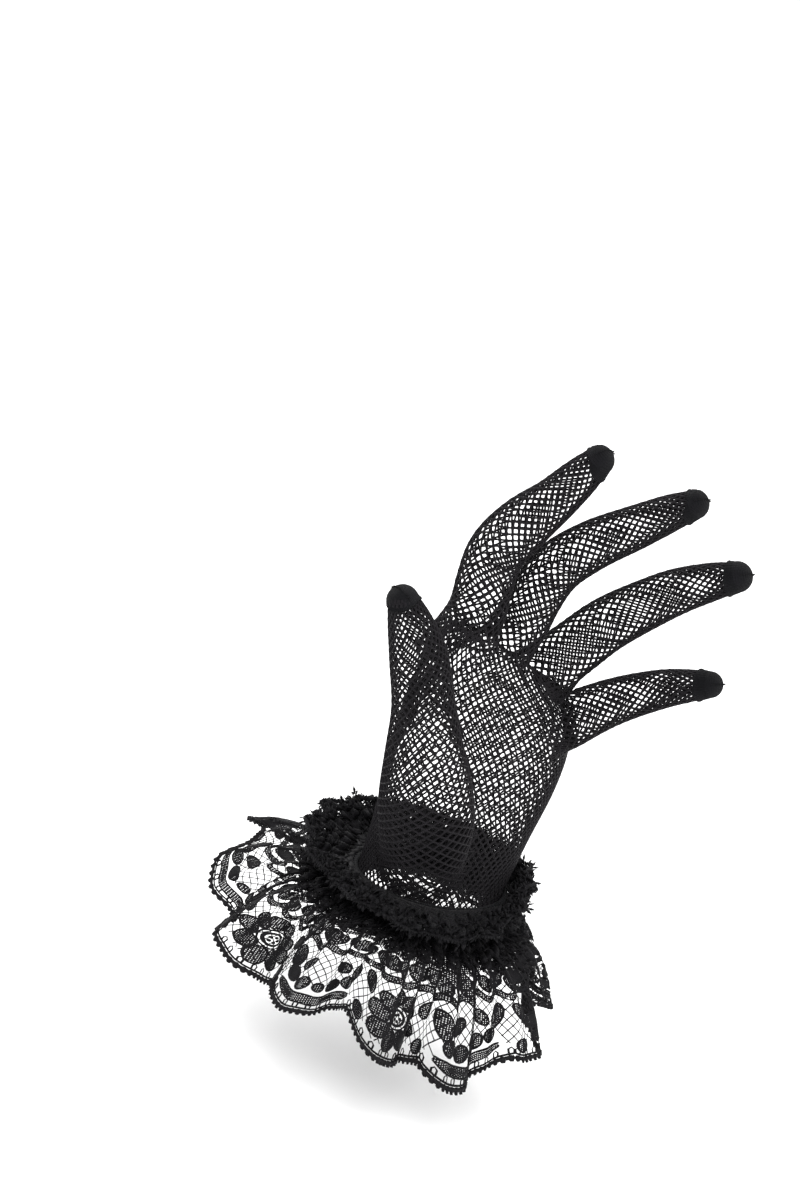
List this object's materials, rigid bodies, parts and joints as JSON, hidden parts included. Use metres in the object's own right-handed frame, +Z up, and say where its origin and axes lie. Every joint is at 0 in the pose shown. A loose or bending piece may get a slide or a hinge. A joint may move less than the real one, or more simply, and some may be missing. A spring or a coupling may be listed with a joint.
{
  "type": "fishnet glove",
  "caption": "Black fishnet dress glove for a left hand, with solid knitted fingertips and a gathered black lace cuff at the wrist.",
  "frame": {"origin": "middle of the wrist opening, on the gather line of the cuff", "axes": "+Z up the wrist toward the fingers, palm toward -Y, thumb toward -X"},
  "size_m": [0.1135, 0.1234, 0.1972],
  "materials": {
    "net": "open black fishnet of fine twisted yarn, matt with a slight sheen",
    "knit": "close black knit, matt",
    "lace": "black scalloped lace on a fine net ground, satin thread in the motifs",
    "band": "gathered black elastic stitching, matt"
  },
  "bodies": {
    "root": {"thumb_net": "net", "index_net": "net", "middle_net": "net", "ring_net": "net", "little_net": "net", "thumb_tip": "knit", "index_tip": "knit", "middle_tip": "knit", "ring_tip": "knit", "little_tip": "knit", "palm_net": "net", "gather_band": "band", "lace_flounce": "lace", "lace_heading": "lace"}
  },
  "joints": []
}
